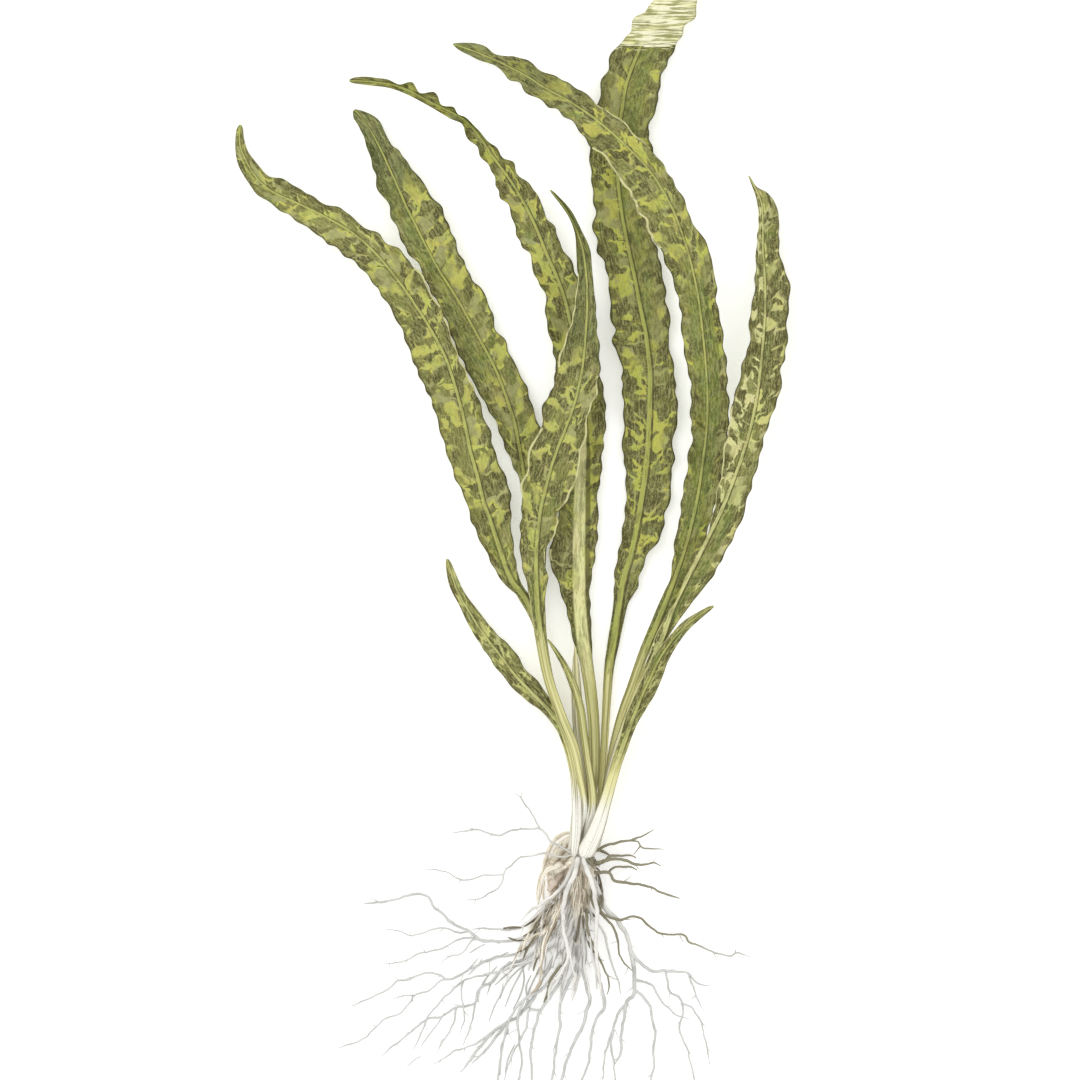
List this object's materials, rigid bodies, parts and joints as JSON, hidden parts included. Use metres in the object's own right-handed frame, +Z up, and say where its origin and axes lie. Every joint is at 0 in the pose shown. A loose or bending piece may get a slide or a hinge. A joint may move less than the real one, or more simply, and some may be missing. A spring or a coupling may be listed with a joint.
{
  "type": "cryptocoryne plant",
  "caption": "Bare-rooted strap-leaved aquarium plant lying flat: long wavy marbled leaves fan out from a short crown over a spread of pale and dark forked roots.",
  "frame": {"origin": "middle of the plant's box, on the table that it lies on", "axes": "+Z up from the table, +Y from the roots to the leaf tips, +X to the right of the leaves seen from above"},
  "size_m": [0.1994, 0.4193, 0.0241],
  "materials": {
    "leaf_far_left": "living leaf, satin, dark olive bars on yellow-green, pale midrib",
    "leaf_left": "living leaf, satin, dark olive bars on yellow-green, pale midrib",
    "leaf_arching_left": "living leaf, satin, dark olive bars on yellow-green, pale midrib",
    "leaf_centre_front": "living leaf, satin, dark olive bars on yellow-green, pale midrib",
    "leaf_tall": "living leaf, satin, dark olive bars on yellow-green, pale midrib",
    "leaf_arching_right": "living leaf, satin, dark olive bars on yellow-green, pale midrib",
    "leaf_right": "living leaf, satin, dark olive bars on yellow-green, pale midrib",
    "leaf_small_right": "living leaf, satin, dark olive bars on yellow-green, pale midrib",
    "leaf_small_left": "living leaf, satin, dark olive bars on yellow-green, pale midrib",
    "leaf_young": "living leaf, satin, dark olive bars on yellow-green, pale midrib",
    "sheath": "thin membranous sheath, matt",
    "crown": "fibrous short stem, matt",
    "root_pale": "young fleshy root, matt",
    "root_grey": "grown root, matt",
    "root_brown": "old fibrous root, matt",
    "root_olive": "old dark root, matt"
  },
  "bodies": {
    "root": {"crown": "crown", "leaf_arching_left": "leaf_arching_left", "leaf_arching_right": "leaf_arching_right", "leaf_centre_front": "leaf_centre_front", "leaf_far_left": "leaf_far_left", "leaf_left": "leaf_left", "leaf_right": "leaf_right", "leaf_small_left": "leaf_small_left", "leaf_small_right": "leaf_small_right", "leaf_tall": "leaf_tall", "leaf_young": "leaf_young", "root_brown": "root_brown", "root_left_arch": "root_grey", "root_left_inner": "root_grey", "root_left_long": "root_grey", "root_left_low": "root_grey", "root_left_mid": "root_grey", "root_left_thick": "root_grey", "root_left_top": "root_grey", "root_left_upper": "root_grey", "root_low_far_left": "root_grey", "root_low_left": "root_grey", "root_low_mid_left": "root_grey", "root_low_mid_right": "root_grey", "root_low_middle": "root_grey", "root_pale_crossing": "root_pale", "root_pale_left": "root_pale", "root_pale_right": "root_pale", "root_right_dark": "root_olive", "root_right_fork": "root_olive", "root_right_inner": "root_grey", "root_right_knot": "root_olive", "root_right_long": "root_olive", "root_right_thick": "root_grey", "root_right_top": "root_olive", "root_tuft": "root_pale", "root_under_dark": "root_olive", "sheath_old": "sheath"}
  },
  "joints": []
}
